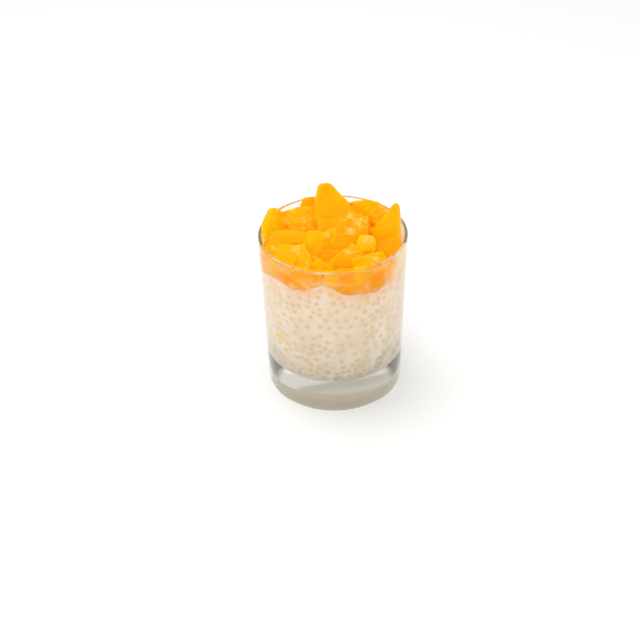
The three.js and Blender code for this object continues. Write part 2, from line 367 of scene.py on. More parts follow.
fruit_nodes = [node for name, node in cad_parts.items() if name.startswith("peach_")]
fruit_verts = []
fruit_faces = []
for node in fruit_nodes:
    if "chip" in node.name:
        continue  # these don't reach the pudding
    first = len(fruit_verts)
    fruit_verts += [v.co.copy() for v in node.data.vertices]
    fruit_faces += [[first + i for i in p.vertices] for p in node.data.polygons]
fruit_tree = BVHTree.FromPolygons(fruit_verts, fruit_faces)


def from_fruit(at):
    """Distance to the nearest cut that reaches the pudding, or a metre where none is near."""
    return fruit_tree.find_nearest(at)[3] if at.z > FRUIT_NEAR else 1.0


def on_glass(marks):
    """Points on the pudding's wall for (degrees round from the front, height, size)."""
    placed = []
    for degrees, height, size in marks:
        angle = math.radians(degrees)
        reach = inner_radius(height)
        placed.append((Vector((reach * math.sin(angle), -reach * math.cos(angle), height)), size))
    return placed


def clamped(value):
    return min(1.0, max(0.0, value))


def place_on_skin(face):
    """Where a face comes round the axis, then up the wall, then out along the floor."""
    at = face.calc_center_median()
    turn = math.atan2(at.y, at.x) / math.tau * PUDDING_FACETS
    return math.floor(turn), round(at.z, 5), round(at.xy.length, 5)


shred_points = on_glass(SHREDS)
chance = random.Random(PEARL_SEED)
skin_faces = [f for f in pudding_bm.faces if f.calc_center_median().z < PEARL_TOP]
skin_faces.sort(key=place_on_skin)
skin_areas = [f.calc_area() for f in skin_faces]
pearls = []
cells = {}
for face in chance.choices(skin_faces, weights=skin_areas, k=PEARL_TRIES):
    at = face.calc_center_median()
    low = 1 - min(1, (at.z - floor) / LOW_PART)
    clusters, fine = CROWD_CLUSTERS
    crowd = CROWD_USUAL + clusters * noise.noise(at * fine + CROWD_SHIFT) + CROWD_LOW * low
    crowd = clamped(crowd + CROWD_CHANCE * chance.random())
    spacing = PEARL_SPACING[1] + (PEARL_SPACING[0] - PEARL_SPACING[1]) * crowd
    cell = tuple(int(c // PEARL_SPACING[1]) for c in at)
    near = [
        other
        for dx in (-1, 0, 1)
        for dy in (-1, 0, 1)
        for dz in (-1, 0, 1)
        for other in cells.get((cell[0] + dx, cell[1] + dy, cell[2] + dz), [])
    ]
    if any((other - at).length < spacing for other in near):
        continue
    if from_fruit(at) < CLEAR_OF_FRUIT:
        continue
    if any((at - spot).length < size + CLEAR_OF_SHRED for spot, size in shred_points):
        continue
    cells.setdefault(cell, []).append(at)
    radius = chance.uniform(*PEARL_RADIUS)
    pearls.append((at, face.normal.copy(), radius, chance.uniform(*PEARL_PROUD)))

bead_bm = bmesh.new()
bmesh.ops.create_uvsphere(bead_bm, u_segments=PEARL_SIDES, v_segments=PEARL_BANDS, radius=1)
bead = mesh_of("bead", bead_bm)
pearl_verts = []
pearl_faces = []
pearl_tones = []
pearl_blush = []
for at, normal, radius, proud in pearls:
    first = len(pearl_verts)
    spun = Matrix.Rotation(chance.uniform(0, math.tau), 3, "Z").to_quaternion()
    lie = normal.to_track_quat("Z", "Y") @ spun
    centre = at + normal * (proud - PEARL_DEPTH)
    tone = chance.random()
    blush = max(0.0, 1 - from_fruit(at) / PEARL_SOAKED)
    for v in bead.vertices:
        x, y, z = v.co
        pearl_verts.append(centre + lie @ Vector((x * radius, y * radius, z * PEARL_DEPTH)))
        pearl_tones.append(tone)
        pearl_blush.append(blush)
    pearl_faces += [[first + i for i in p.vertices] for p in bead.polygons]
pearl_mesh = bpy.data.meshes.new("pearls")
pearl_mesh.from_pydata(pearl_verts, [], pearl_faces)
pearl_mesh.attributes.new("tone", "FLOAT", "POINT").data.foreach_set("value", pearl_tones)
pearl_mesh.attributes.new("blush", "FLOAT", "POINT").data.foreach_set("value", pearl_blush)


def from_axis(tree):
    """A value for the distance from the tumbler's axis."""
    flat = tree.nodes.new("ShaderNodeVectorMath")
    flat.operation = "MULTIPLY"
    flat.inputs[1].default_value = (1, 1, 0)
    tree.links.new(object_place(tree)[0], flat.inputs[0])
    reach = tree.nodes.new("ShaderNodeVectorMath")
    reach.operation = "LENGTH"
    tree.links.new(flat.outputs[0], reach.inputs[0])
    return reach.outputs["Value"]


def out_of_skin(tree):
    """A value for how far, in metres, a point lies outside the pudding's wall or floor."""
    up = object_place(tree)[3]
    taper = (inner_radius(GLASS_HEIGHT) - inner_radius(0)) / GLASS_HEIGHT
    widened = worked_out(tree, "MULTIPLY", up, taper)
    wall = worked_out(tree, "ADD", widened, inner_radius(0) + SKIN)
    beyond_wall = worked_out(tree, "SUBTRACT", from_axis(tree), wall)
    return worked_out(tree, "MAXIMUM", beyond_wall, worked_out(tree, "SUBTRACT", floor, up))


def ramp(tree, factor, stops):
    """A colour ramp of (position, colour) stops."""
    node = tree.nodes.new("ShaderNodeValToRGB")
    elements = node.color_ramp.elements
    while len(elements) < len(stops):
        elements.new(0.5)
    for element, (position, colour) in zip(elements, stops):
        element.position = position
        element.color = (*colour, 1)
    tree.links.new(factor, node.inputs[0])
    return node.outputs["Color"]


def attribute(tree, name, output="Fac"):
    node = tree.nodes.new("ShaderNodeAttribute")
    node.attribute_name = name
    return node.outputs[output]


def made_lower_shade():
    """Painted shade: the cream is darkened towards the bottom, and given a shaded colour on its
    underside.
    """
    group = bpy.data.node_groups.new("lower_shade", "ShaderNodeTree")
    group.interface.new_socket("Body", in_out="INPUT", socket_type="NodeSocketColor")
    group.interface.new_socket("Colour", in_out="OUTPUT", socket_type="NodeSocketColor")
    body = group.nodes.new("NodeGroupInput").outputs["Body"]
    shaded = group.nodes.new("NodeGroupOutput").inputs["Colour"]
    up = object_place(group)[3]
    low, high = PAINTED_SHADE_BY_HEIGHT[0][0], PAINTED_SHADE_BY_HEIGHT[-1][0]
    stops = [((at - low) / (high - low), colour) for at, colour in PAINTED_SHADE_BY_HEIGHT]
    left = ramp(group, ranged(group, up, low, high), stops)
    shaded_low = blended(group, 1.0, body, left, "MULTIPLY")
    under = ranged(group, up, floor, floor + UNDER_DEPTH, 1.0, 0.0)
    group.links.new(blended(group, under, shaded_low, CREAM_UNDER_SHADE), shaded)
    return group


def lower_shaded(tree, body):
    """A colour with the lower shade over it."""
    node = tree.nodes.new("ShaderNodeGroup")
    node.node_tree = lower_shade
    tree.links.new(body, node.inputs["Body"])
    return node.outputs["Colour"]


lower_shade = made_lower_shade()
pearl_material, tree, shader = principled("cooked_tapioca")
out = ranged(tree, out_of_skin(tree), 0.0, PEARL_CROWN)
veil = ranged(tree, attribute(tree, "tone"), 0.0, 1.0, 0.0, PEARL_VEIL)
bare = ramp(tree, out, [(0.0, PEARL_EDGE), (0.6, TAPIOCA), (1.0, TAPIOCA_PALE)])
bare = blended(tree, veil, bare, PEARL_EDGE)
blush = ranged(tree, attribute(tree, "blush"), 0.0, PEARL_BLUSHED)
bare = blended(tree, blush, bare, PEARL_BLUSH)
tree.links.new(lower_shaded(tree, bare), shader.inputs["Base Color"])
shader.inputs["Roughness"].default_value = 0.45
piece("tapioca_pearls", pearl_mesh, pearl_material, "pudding")

# The cream round the pearls carries what shows through the glass: a tan cast close to each
# pearl, a peach blush where syrup has soaked in under the fruit, paler patches of plain cream,
# and low pockets where clear serum has gathered between the pearls.
CREAM = (0.885, 0.66, 0.492)
CREAM_PALE = (0.925, 0.735, 0.585)
CREAM_BLUSH = (0.98, 0.52, 0.27)
SERUM = (0.52, 0.45, 0.36)
SHRED = (1.0, 0.60, 0.09)
PALE_PATCHES = (90, 0.42, 0.62)  # number to a metre, and where they start and are full
BURIED_PEARLS = (300, 0.52, 0.66)
BURIED_SHOWN = 0.4
HALO_REACH = 0.0021  # from the middle of a pearl
HALO_WAVES = (0.0006, 700)
HALO_SOFT = 0.0009
HALO_FAINTEST = 0.55  # round a pearl that lies deep
HALO_SHOWN = 0.85
SOAKED_REACH = 0.0062  # of the syrup, from the fruit
SOAKED_WAVES = (0.006, 120)
SOAKED_USUAL = 0.7
SOAKED_PATCHES = (0.7, 190)
SOAKED_FALL = 1.5
SHRED_WAVES = (0.0006, 900)
SHRED_SOFT = 0.0006
POCKETS = [  # degrees round from the front, height, size
    (41, 0.0300, 0.0036),
    (46, 0.0325, 0.0028),
    (52, 0.0348, 0.0026),
    (37, 0.0268, 0.0028),
    (60, 0.0290, 0.0030),
    (68, 0.0310, 0.0028),
    (12, 0.0232, 0.0034),
    (3, 0.0234, 0.0036),
    (-8, 0.0234, 0.0026),
    (-5, 0.0290, 0.0016),
    (22, 0.0232, 0.0034),
    (31, 0.0238, 0.0030),
    (-38, 0.0290, 0.0012),
    (-31, 0.0262, 0.0014),
    (-52, 0.0320, 0.0014),
    (-60, 0.0300, 0.0022),
    (-22, 0.0245, 0.0014),
    (115, 0.0300, 0.0030),
    (162, 0.0265, 0.0028),
    (214, 0.0310, 0.0026),
    (262, 0.0255, 0.0024),
]
POCKET_TOP = 0.045  # there are none above this
POCKET_WAVES = ((0.0013, 380), (0.0007, 1000))
POCKET_SOFT = 0.0012
POCKET_SHOWN = 0.8
SERUM_RIM = 0.0096  # breadth of the ring of serum under the edge of the pudding
SERUM_RIM_WAVES = (0.0016, 130)
SERUM_RIM_RAGGED = (2.5, 0.5)  # against the pockets: inwards, and upwards
SERUM_RIM_TOP = 0.0011  # above the floor
SERUM_RIM_SOFT = 0.0008

pocket_points = on_glass(POCKETS)
pearl_tree = KDTree(len(pearls))
for i, (at, normal, radius, proud) in enumerate(pearls):
    pearl_tree.insert(at, i)
pearl_tree.balance()
halo_layer = pudding_bm.verts.layers.float.new("halo")
blush_layer = pudding_bm.verts.layers.float.new("blush")
pocket_layer = pudding_bm.verts.layers.float.new("pocket")
shred_layer = pudding_bm.verts.layers.float.new("shred")
for v in pudding_bm.verts:
    near, i, distance = pearl_tree.find(v.co)
    proud = (pearls[i][3] - PEARL_PROUD[0]) / (PEARL_PROUD[1] - PEARL_PROUD[0])
    strength = HALO_FAINTEST + (1 - HALO_FAINTEST) * proud
    soft = HALO_REACH + wavy(v.co, HALO_WAVES) - distance
    v[halo_layer] = strength * clamped(soft / HALO_SOFT)
    soaked = max(0.0, 1 - from_fruit(v.co) / (SOAKED_REACH + wavy(v.co, SOAKED_WAVES)))
    patchy = SOAKED_USUAL + wavy(v.co, SOAKED_PATCHES)
    v[blush_layer] = clamped(soaked ** SOAKED_FALL * patchy)
    torn = wavy(v.co, SHRED_WAVES)
    shred = max((size + torn - (v.co - at).length) / SHRED_SOFT for at, size in shred_points)
    v[shred_layer] = clamped(shred)
    if v.co.z < POCKET_TOP:
        ragged = wavy(v.co, *POCKET_WAVES)
        wet = max((size + ragged - (v.co - at).length) / POCKET_SOFT for at, size in pocket_points)
        rim = SERUM_RIM + SERUM_RIM_RAGGED[0] * ragged + wavy(v.co.xy.to_3d(), SERUM_RIM_WAVES)
        out = v.co.xy.length - (inner_radius(FLOOR_HEIGHT) - rim)
        if v.co.z < floor + SERUM_RIM_TOP + ragged * SERUM_RIM_RAGGED[1]:
            wet = max(wet, out / SERUM_RIM_SOFT)
        v[pocket_layer] = clamped(wet)


def mottled(tree, scale, detail=2.0, vector=None):
    """The value of a noise, by the place on the object unless another vector is given."""
    node = tree.nodes.new("ShaderNodeTexNoise")
    node.inputs["Scale"].default_value = scale
    node.inputs["Detail"].default_value = detail
    tree.links.new(vector or object_place(tree)[0], node.inputs["Vector"])
    return node.outputs["Fac"]


def patched(tree, patches, most=1.0):
    """A factor for patches of (number to a metre, where they start, where they are full)."""
    scale, start, full = patches
    return ranged(tree, mottled(tree, scale, 3), start, full, 0.0, most)


def shown(tree, name, most):
    """An attribute from 0 to 1 as a factor of at most so much."""
    return ranged(tree, attribute(tree, name), 0.0, 1.0, 0.0, most)


cream, tree, shader = principled("tapioca_cream")
body = blended(tree, patched(tree, PALE_PATCHES), CREAM, CREAM_PALE)
body = blended(tree, patched(tree, BURIED_PEARLS, BURIED_SHOWN), body, PEARL_EDGE)
body = blended(tree, shown(tree, "halo", HALO_SHOWN), body, PEARL_EDGE)
body = blended(tree, attribute(tree, "blush"), body, CREAM_BLUSH)
body = blended(tree, attribute(tree, "shred"), body, SHRED)
body = blended(tree, shown(tree, "pocket", POCKET_SHOWN), body, SERUM)
tree.links.new(lower_shaded(tree, body), shader.inputs["Base Color"])
shader.inputs["Roughness"].default_value = 0.4
piece("tapioca_pudding", mesh_of("pudding_mesh", pudding_bm), cream, "pudding", "pudding")

# Syrup from the tin has settled between the fruit and the pudding. It fills the gaps between
# the cuts against the glass, where it is clouded by the cream, and glazes the bottom of each
# crevice on top a deep orange.
SYRUP_FOOT = 0.080
SYRUP_LEVEL = 0.0888
SYRUP_HEAPED = 0.0062  # it clings among the cuts higher in the middle
SYRUP_WAVES = (0.0005, 160)
SYRUP_SLACK = 0.0004  # below that level
SYRUP_SUNK = 0.0005  # below the top of the pudding
SYRUP_IN_GLASS = 0.00005
SYRUP_FACETS = 200
SYRUP_RINGS = 30
SYRUP_BANDS = 8
SYRUP_DEEP = (1.0, 0.27, 0.002)
SYRUP_CLEAR = (1.0, 0.33, 0.001)
SYRUP_CLOUDY = (1.0, 0.47, 0.012)
SYRUP_AT_WALL = (0.0352, 0.0368)  # from the axis
SYRUP_CLOUDS = (110, 0.40, 0.60)
FLESH_GLOW = (1.0, 0.5, 0.08)  # how far each colour of light travels in syrup and fruit
FLESH_GLOW_WEIGHT = 0.6

syrup_edge = inner_radius(SYRUP_LEVEL) + SYRUP_IN_GLASS
syrup_rise = SYRUP_LEVEL - SYRUP_FOOT
syrup_outline = [
    *[(syrup_edge * i / SYRUP_RINGS, SYRUP_FOOT) for i in range(SYRUP_RINGS + 1)],
    *[(syrup_edge, SYRUP_FOOT + syrup_rise * i / SYRUP_BANDS) for i in range(1, SYRUP_BANDS + 1)],
    *[(syrup_edge * i / SYRUP_RINGS, SYRUP_LEVEL) for i in range(SYRUP_RINGS - 1, -1, -1)],
]
syrup_bm = turned(syrup_outline, SYRUP_FACETS)
for v in syrup_bm.verts:
    bottom = pudding_level(v.co.x, v.co.y) - SYRUP_SUNK
    share = (v.co.z - SYRUP_FOOT) / syrup_rise
    heaped = SYRUP_HEAPED * (1 - (v.co.xy.length / syrup_edge) ** 2)
    top = SYRUP_LEVEL + heaped + wavy(v.co.xy.to_3d(), SYRUP_WAVES) - SYRUP_SLACK
    on_wall = v.co.xy.length > syrup_edge - TOUCHING
    v.co.z = bottom + share * (top - bottom)
    if on_wall:
        v.co.xy *= (inner_radius(v.co.z) + SYRUP_IN_GLASS) / v.co.xy.length
bmesh.ops.recalc_face_normals(syrup_bm, faces=syrup_bm.faces)

syrup, tree, shader = principled("peach_syrup")
cloudy = blended(tree, patched(tree, SYRUP_CLOUDS), SYRUP_CLEAR, SYRUP_CLOUDY)
at_wall = ranged(tree, from_axis(tree), *SYRUP_AT_WALL)
tree.links.new(blended(tree, at_wall, SYRUP_DEEP, cloudy), shader.inputs["Base Color"])
shader.inputs["Roughness"].default_value = 0.2
shader.inputs["Specular IOR Level"].default_value = 0.1
shader.inputs["Subsurface Weight"].default_value = FLESH_GLOW_WEIGHT
shader.inputs["Subsurface Radius"].default_value = FLESH_GLOW
shader.inputs["Subsurface Scale"].default_value = 0.003
piece("peach_syrup", mesh_of("syrup_mesh", syrup_bm), syrup, "peach")

# The peach is tinned, in syrup: firm halves cut by knife into dice and wedges. The skin side is
# smooth and rounded, and the side that lay on the stone is rough with paler pulp. The modelled
# cuts are swollen till they touch and meshed as one wet heap, with flats where it meets the glass.
HEAP_VOXEL = 0.00049
HEAP_SOFTENED = 3  # times
HEAP_BLURRED = 12  # times more, to tell its creases from its edges
SWELL = 0.0004  # it closes the modelled gaps
SWELL_MOST = 2.0  # times that, at a sharp corner
CUT_SPAN = 0.003  # longer edges are divided, to tell which cut a place is nearest
PRESSED = 0.0014  # how near the glass a face is pressed flat against it
PRESSED_LOW = 0.0030  # and close above the pudding
DIPPED = 0.0014  # how far the flats there reach down into the pudding
DIPPED_MOST = 1.3
LOW_BAND = 0.003  # height above the pudding of those flats
CONTACT_TOP = 0.0925  # above this the wet cuts stand just clear of the glass
CONTACT_WAVES = (0.0012, 150)
CONTACT_SKIN = 0.75  # of the pudding's reach into the glass
CLEAR_OF_LIP = 0.0003
LIP_TOP = 0.002  # above the rim, up to where that holds
MILK_HEIGHT = 0.0028  # above the pudding, of the cream that smears the flats
MILK_WAVES = (1.4, 220)
MILK_SHOWN = 0.7
SEAM = 0.0011  # breadth of the cream in the seams between cuts on the glass
SEAM_WAVES = (1.0, 300)
SEAM_HEIGHT = 0.006
SEAM_FULL = 1.5
SEAM_LOOK = 14  # points round a place, to find the next cut
MILKY_SIDE = 0.0285  # cream has run up between the fruit and the glass right of this
FILM_SOFT = 0.003
FILM_TOP = 0.0935
FILM_USUAL = 0.8
FILM_WAVES = (1.4, 140)
FILM_SHOWN = 0.85
TINT_WAVES = (0.5, 75)  # along the flats
FIBROUS = (
    "stone_side", "middle_wedge", "front_middle", "front_left", "front_right", "middle_back",
    "left_bit", "right_back", "pale_cube", "under_cube", "back_left", "left_side",
)
SMOOTH = 0.15  # share of the fibres on the other cuts
YELLOW = {  # how yellow each cut is, from orange at 0; the others lie between
    "peak": 0.58, "stone_side": 0.72, "left_tall": 0.8, "left_flat": 0.45, "middle_cube": 0.81,
    "middle_wedge": 0.57, "centre": 0.27, "middle_back": 0.3, "right_back": 0.68, "right_tall": 0.77,
    "pale_cube": 1.0, "right_front": 0.15, "front_middle": 0.47, "front_right": 0.6,
    "front_left": 0.68, "front_small": 0.66, "left_slope": 0.54, "under_cube": 0.1,
    "wall_left": 0.45, "wall_front": 0.56, "wall_right": 0.42, "wall_tip": 0.4, "back_middle": 0.3,
    "chip_far_left": 0.5, "chip_left": 0.25, "chip_front": 0.6, "chip_right": 0.35,
    "chip_far_right": 0.7,
}
YELLOW_BETWEEN = 0.5
MM = 0.001
PULP = [  # middle, in millimetres, and radius
    ((-15.5, 3.5, 100.5), 5.5),
    ((-12.5, -1.5, 98.5), 3.0),
    ((9.5, 2.5, 103), 2.6),
    ((14, -1.5, 101.5), 4.5),
    ((9.5, -7, 99.5), 3.6),
    ((19.5, 9, 104), 3.2),
    ((-35.5, -6, 96), 3.4),
    ((-32, -14.5, 96.5), 3.6),
    ((-19, -19.5, 97), 3.0),
    ((-14, -27, 94), 3.0),
    ((-3, -10, 100), 2.6),
    ((3, -16, 98.5), 2.6),
    ((18, -14, 100), 3.6),
    ((22, -27, 95), 4.0),
    ((8, -22, 97), 2.6),
    ((-6, 26, 101), 4.0),
    ((20, 24, 101), 4.0),
    ((-24, 16, 98), 4.0),
    ((30, 10, 98), 3.5),
]
PULP_STRENGTH = 1.6
PULP_WAVES = (1.2, 480)
PULP_RELIEF = (0.0005, 800)
STREAK_RELIEF = 0.00036
STREAK_FINE = Vector((620, 620, 120))  # across a cut and along it, to a metre
ROUGH_WAVES = (0.00034, 420)
CREASE_DEEP = 0.0005
EDGE_PROUD = 0.0004
BITS = [  # of peach that have fallen into crevices: middle and size in millimetres, turn, tint
    ((16, -17, 94), (6, 6, 4.5), 30, 0.6),
    ((-13, -34, 88.6), (4.6, 3.4, 5), -20, 0.4),
    ((19, -1, 95.5), (5, 5, 4), 10, 0.5),
]
BIT_BEVEL = 0.0008

PEACH_ORANGE = (1.0, 0.28, 0.0)
PEACH_YELLOW = (1.0, 0.52, 0.003)
PEACH_DEEP = (1.0, 0.29, 0.0)
# painted highlight on the ridges of the cuts
PEACH_EDGE_HIGHLIGHT = (1.0, 0.47, 0.003)
# painted glints on the pulp
PAINTED_GLINT = (1.0, 0.80, 0.50)
# painted shade in the creases of the cuts
PEACH_CREASE_SHADE = (1.0, 0.20, 0.0)
FIBRE = (1.0, 0.54, 0.10)
PULP_PALE = (1.0, 0.51, 0.08)
CREAM_FILM = (0.96, 0.70, 0.47)
MOTTLE = (160, 0.35, 0.7)  # number to a metre, and where it starts and is full
MOTTLE_SHOWN = 0.4
THREADS = (1000, 1000, 130)  # across a cut and along it, to a metre
THREAD_EDGES = (0.58, 0.72)
THREAD_RELIEF = 0.0003
EDGE_HIGHLIGHT_SHOWN = 0.5
CREASE_SHADE_SHOWN = 0.4
PULP_SHOWN = (0.2, 1.0, 0.0, 0.75)  # from and to this much pulp, how much of its colour
PULP_GLINT_RANGE = (0.3, 0.8)
GLINTS_FINE = 900
GLINT_EDGES = (0.6, 0.7)
PEACH_IOR = 1.34


def grain_axes(points):
    """The middle of a piece and a turn that lays its longest way along Z."""
    middle = sum(points, Vector()) / len(points)
    far = max(points, key=lambda p: (p - middle).length)
    other = max(points, key=lambda p: (p - far).length)
    return middle, (far - other).normalized().rotation_difference(Vector((0, 0, 1)))


def even_mesh(mesh, voxel):
    """The closed mesh again with even faces, and one skin round the shells that overlap."""
    cut = bpy.data.objects.new("cut", mesh)
    scene.collection.objects.link(cut)
    even = cut.modifiers.new("even", "REMESH")
    even.mode = "VOXEL"
    even.voxel_size = voxel
    graph = bpy.context.evaluated_depsgraph_get()
    meshed = bpy.data.meshes.new_from_object(cut.evaluated_get(graph))
    bpy.data.objects.remove(cut)
    return meshed


def softened(bm, times):
    for _ in range(times):
        bmesh.ops.smooth_vert(
            bm, verts=bm.verts, factor=0.5, use_axis_x=True, use_axis_y=True, use_axis_z=True
        )
    bm.normal_update()


def modelled(node):
    """A copy of a modelled cut, with its loose triangles joined."""
    bm = bmesh.new()
    bm.from_mesh(node.data)
    bmesh.ops.remove_doubles(bm, verts=bm.verts, dist=MERGED)
    return bm


def bit(at, size, turn):
    """A small bit of peach with knife-cut sides."""
    bm = bmesh.new()
    turned_round = Matrix.Rotation(math.radians(turn), 4, "Z")
    tipped = Matrix.Rotation(math.radians(turn / 2), 4, "Y")
    lie = Matrix.Translation(Vector(at) * MM) @ turned_round @ tipped @ Matrix.Diagonal((*size, 1))
    bmesh.ops.create_cube(bm, size=MM, matrix=lie)
    bmesh.ops.bevel(
        bm, geom=bm.edges, offset=BIT_BEVEL, segments=2, profile=0.5, affect="EDGES", material=-1
    )
    return bm


shells = [(node.name.removeprefix("peach_"), modelled(node)) for node in fruit_nodes]
shells = [(bm, YELLOW.get(short, YELLOW_BETWEEN), short in FIBROUS) for short, bm in shells]
shells += [(bit(at, size, turn), tint, False) for at, size, turn, tint in BITS]
cut_verts = []
cut_faces = []
cut_points = []
cuts = []
for order, (bm, tint, fibrous) in enumerate(shells):
    bm.normal_update()
    middle, turn = grain_axes([v.co.copy() for v in bm.verts])
    cuts.append((middle, turn, 1.0 if fibrous else SMOOTH, tint))
    first = len(cut_verts)
    for v in bm.verts:
        cut_verts.append(v.co + v.normal * SWELL * min(SWELL_MOST, v.calc_shell_factor()))
    cut_faces += [[first + v.index for v in f.verts] for f in bm.faces]
    long_edges = [e for e in bm.edges if e.calc_length() > CUT_SPAN]
    bmesh.ops.subdivide_edges(bm, edges=long_edges, cuts=3)
    cut_points += [(v.co.copy(), order) for v in bm.verts]
    bm.free()

cut_tree = KDTree(len(cut_points))
for i, (co, order) in enumerate(cut_points):
    cut_tree.insert(co, i)
cut_tree.balance()


def seam_cream(at):
    """How far a place lies into the seam between two cuts: 1 in its middle, less outside."""
    around = cut_tree.find_n(at, SEAM_LOOK)
    own = cut_points[around[0][1]][1]
    others = [distance for co, i, distance in around if cut_points[i][1] != own]
    if not others:
        return 0.0
    return 1 - (others[0] - around[0][2]) / SEAM + wavy(at, SEAM_WAVES)


swollen = bpy.data.meshes.new("swollen")
swollen.from_pydata(cut_verts, [], cut_faces)
heap = bmesh.new()
heap.from_mesh(even_mesh(swollen, HEAP_VOXEL))
softened(heap, HEAP_SOFTENED)
blurred = heap.copy()
softened(blurred, HEAP_BLURRED)
blurred.verts.ensure_lookup_table()
layers = {
    name: heap.verts.layers.float.new(name)
    for name in ("fibre", "tint", "milk", "film", "crease", "edge", "pulp")
}
grain_layer = heap.verts.layers.float_vector.new("grain")
pulp_spots = [(Vector(at) * MM, radius * MM) for at, radius in PULP]
for v in heap.verts:
    middle, turn, fibrous, tint = cuts[cut_points[cut_tree.find(v.co)[1]][1]]
    hollow = (blurred.verts[v.index].co - v.co).dot(v.normal)
    local = turn @ (v.co - middle)
    pulp = max(1 - (v.co - at).length / radius for at, radius in pulp_spots)
    pulp = clamped(PULP_STRENGTH * pulp + wavy(v.co, PULP_WAVES))
    streak = STREAK_RELIEF * noise.noise(local * STREAK_FINE)
    relief = (streak + wavy(v.co, ROUGH_WAVES)) * max(fibrous, pulp)
    v.co += v.normal * (relief + wavy(v.co, PULP_RELIEF) * pulp)
    milk = 0.0
    wall = inner_radius(min(v.co.z, GLASS_HEIGHT))
    reach = v.co.xy.length
    if v.co.z < CONTACT_TOP + wavy(v.co, CONTACT_WAVES):
        level = pudding_level(v.co.x, v.co.y) if reach > wall - PRESSED_LOW else 0
        if reach > wall - (PRESSED_LOW if v.co.z < level + LOW_BAND else PRESSED):
            above = v.co.z - level
            milk = 1 - above / MILK_HEIGHT + wavy(v.co, MILK_WAVES)
            milk = max(milk, min(seam_cream(v.co), SEAM_FULL - above / SEAM_HEIGHT))
            tint += wavy(v.co, TINT_WAVES)
            v.co.z -= DIPPED * min(DIPPED_MOST, max(0.0, 1 - above / LOW_BAND))
            v.co.xy *= (inner_radius(v.co.z) + SKIN * CONTACT_SKIN) / reach
    elif v.co.z < GLASS_HEIGHT + LIP_TOP and reach > wall - CLEAR_OF_LIP:
        v.co.xy *= (wall - CLEAR_OF_LIP) / reach
    film = 0.0
    if v.co.x > MILKY_SIDE and reach > wall - PRESSED_LOW and v.co.z < FILM_TOP:
        film = (v.co.x - MILKY_SIDE) / FILM_SOFT * (FILM_USUAL + wavy(v.co, FILM_WAVES))
    v[layers["film"]] = clamped(film)
    v[grain_layer] = local
    v[layers["fibre"]] = fibrous
    v[layers["tint"]] = tint
    v[layers["milk"]] = clamped(milk)
    # The crease layer marks hollows for painted shade, and the edge layer marks ridges for a painted
    # highlight.
    v[layers["crease"]] = clamped(hollow / CREASE_DEEP)
    v[layers["edge"]] = clamped(-hollow / EDGE_PROUD)
    v[layers["pulp"]] = pulp
blurred.free()

peach, tree, shader = principled("tinned_peach")
flesh = blended(tree, attribute(tree, "tint"), PEACH_ORANGE, PEACH_YELLOW)
flesh = blended(tree, patched(tree, MOTTLE, MOTTLE_SHOWN), flesh, PEACH_DEEP)
along = tree.nodes.new("ShaderNodeMapping")
along.inputs["Scale"].default_value = THREADS
tree.links.new(attribute(tree, "grain", "Vector"), along.inputs["Vector"])
streaks = ranged(tree, mottled(tree, 1, 3, along.outputs[0]), *THREAD_EDGES)
threads = worked_out(tree, "MULTIPLY", streaks, attribute(tree, "fibre"))
flesh = blended(tree, threads, flesh, FIBRE)
# Painted highlight on the ridges of the cuts.
flesh = blended(tree, shown(tree, "edge", EDGE_HIGHLIGHT_SHOWN), flesh, PEACH_EDGE_HIGHLIGHT)
# Painted shade in the creases.
flesh = blended(tree, shown(tree, "crease", CREASE_SHADE_SHOWN), flesh, PEACH_CREASE_SHADE)
pulpy = ranged(tree, attribute(tree, "pulp"), *PULP_SHOWN)
flesh = blended(tree, pulpy, flesh, PULP_PALE)
# Painted glints, sparse, on the pulp.
glinting_pulp = ranged(tree, attribute(tree, "pulp"), *PULP_GLINT_RANGE)
sparks = ranged(tree, mottled(tree, GLINTS_FINE), *GLINT_EDGES)
glints = worked_out(tree, "MULTIPLY", sparks, glinting_pulp)
flesh = blended(tree, glints, flesh, PAINTED_GLINT)
flesh = blended(tree, shown(tree, "milk", MILK_SHOWN), flesh, CREAM_BLUSH)
flesh = blended(tree, shown(tree, "film", FILM_SHOWN), flesh, CREAM_FILM)
tree.links.new(flesh, shader.inputs["Base Color"])
bump = tree.nodes.new("ShaderNodeBump")
bump.inputs["Strength"].default_value = 0.2
bump.inputs["Distance"].default_value = THREAD_RELIEF
tree.links.new(threads, bump.inputs["Height"])
tree.links.new(bump.outputs[0], shader.inputs["Normal"])
shader.inputs["Roughness"].default_value = 0.35
shader.inputs["IOR"].default_value = PEACH_IOR
shader.inputs["Specular IOR Level"].default_value = 0.03
shader.inputs["Coat Weight"].default_value = 0.05
shader.inputs["Coat Roughness"].default_value = 0.05
shader.inputs["Coat IOR"].default_value = PEACH_IOR
shader.inputs["Subsurface Weight"].default_value = FLESH_GLOW_WEIGHT
shader.inputs["Subsurface Radius"].default_value = FLESH_GLOW
shader.inputs["Subsurface Scale"].default_value = 0.004
peach_mesh = mesh_of("peach_mesh", heap)
piece("diced_peach", peach_mesh, peach, "peach", *[node.name for node in fruit_nodes])

# The dessert stands on a plain pale table. In front of the glass it mirrors darker than it is,
# so that the wall isn't veiled in white.
TABLE = 3.0
TABLE_COLOUR = (0.9, 0.9, 0.9)
TABLE_MIRRORED = (0.34, 0.33, 0.32)
TABLE_FRONT = (-0.045, -0.07)  # where the darker part fades in
TABLE_SUNK = 0.0002


def mirrored_or_bent(tree, ray):
    """1 for light that has been mirrored, or bent by glass."""
    return worked_out(tree, "MAXIMUM", ray["Is Glossy Ray"], ray["Is Transmission Ray"])


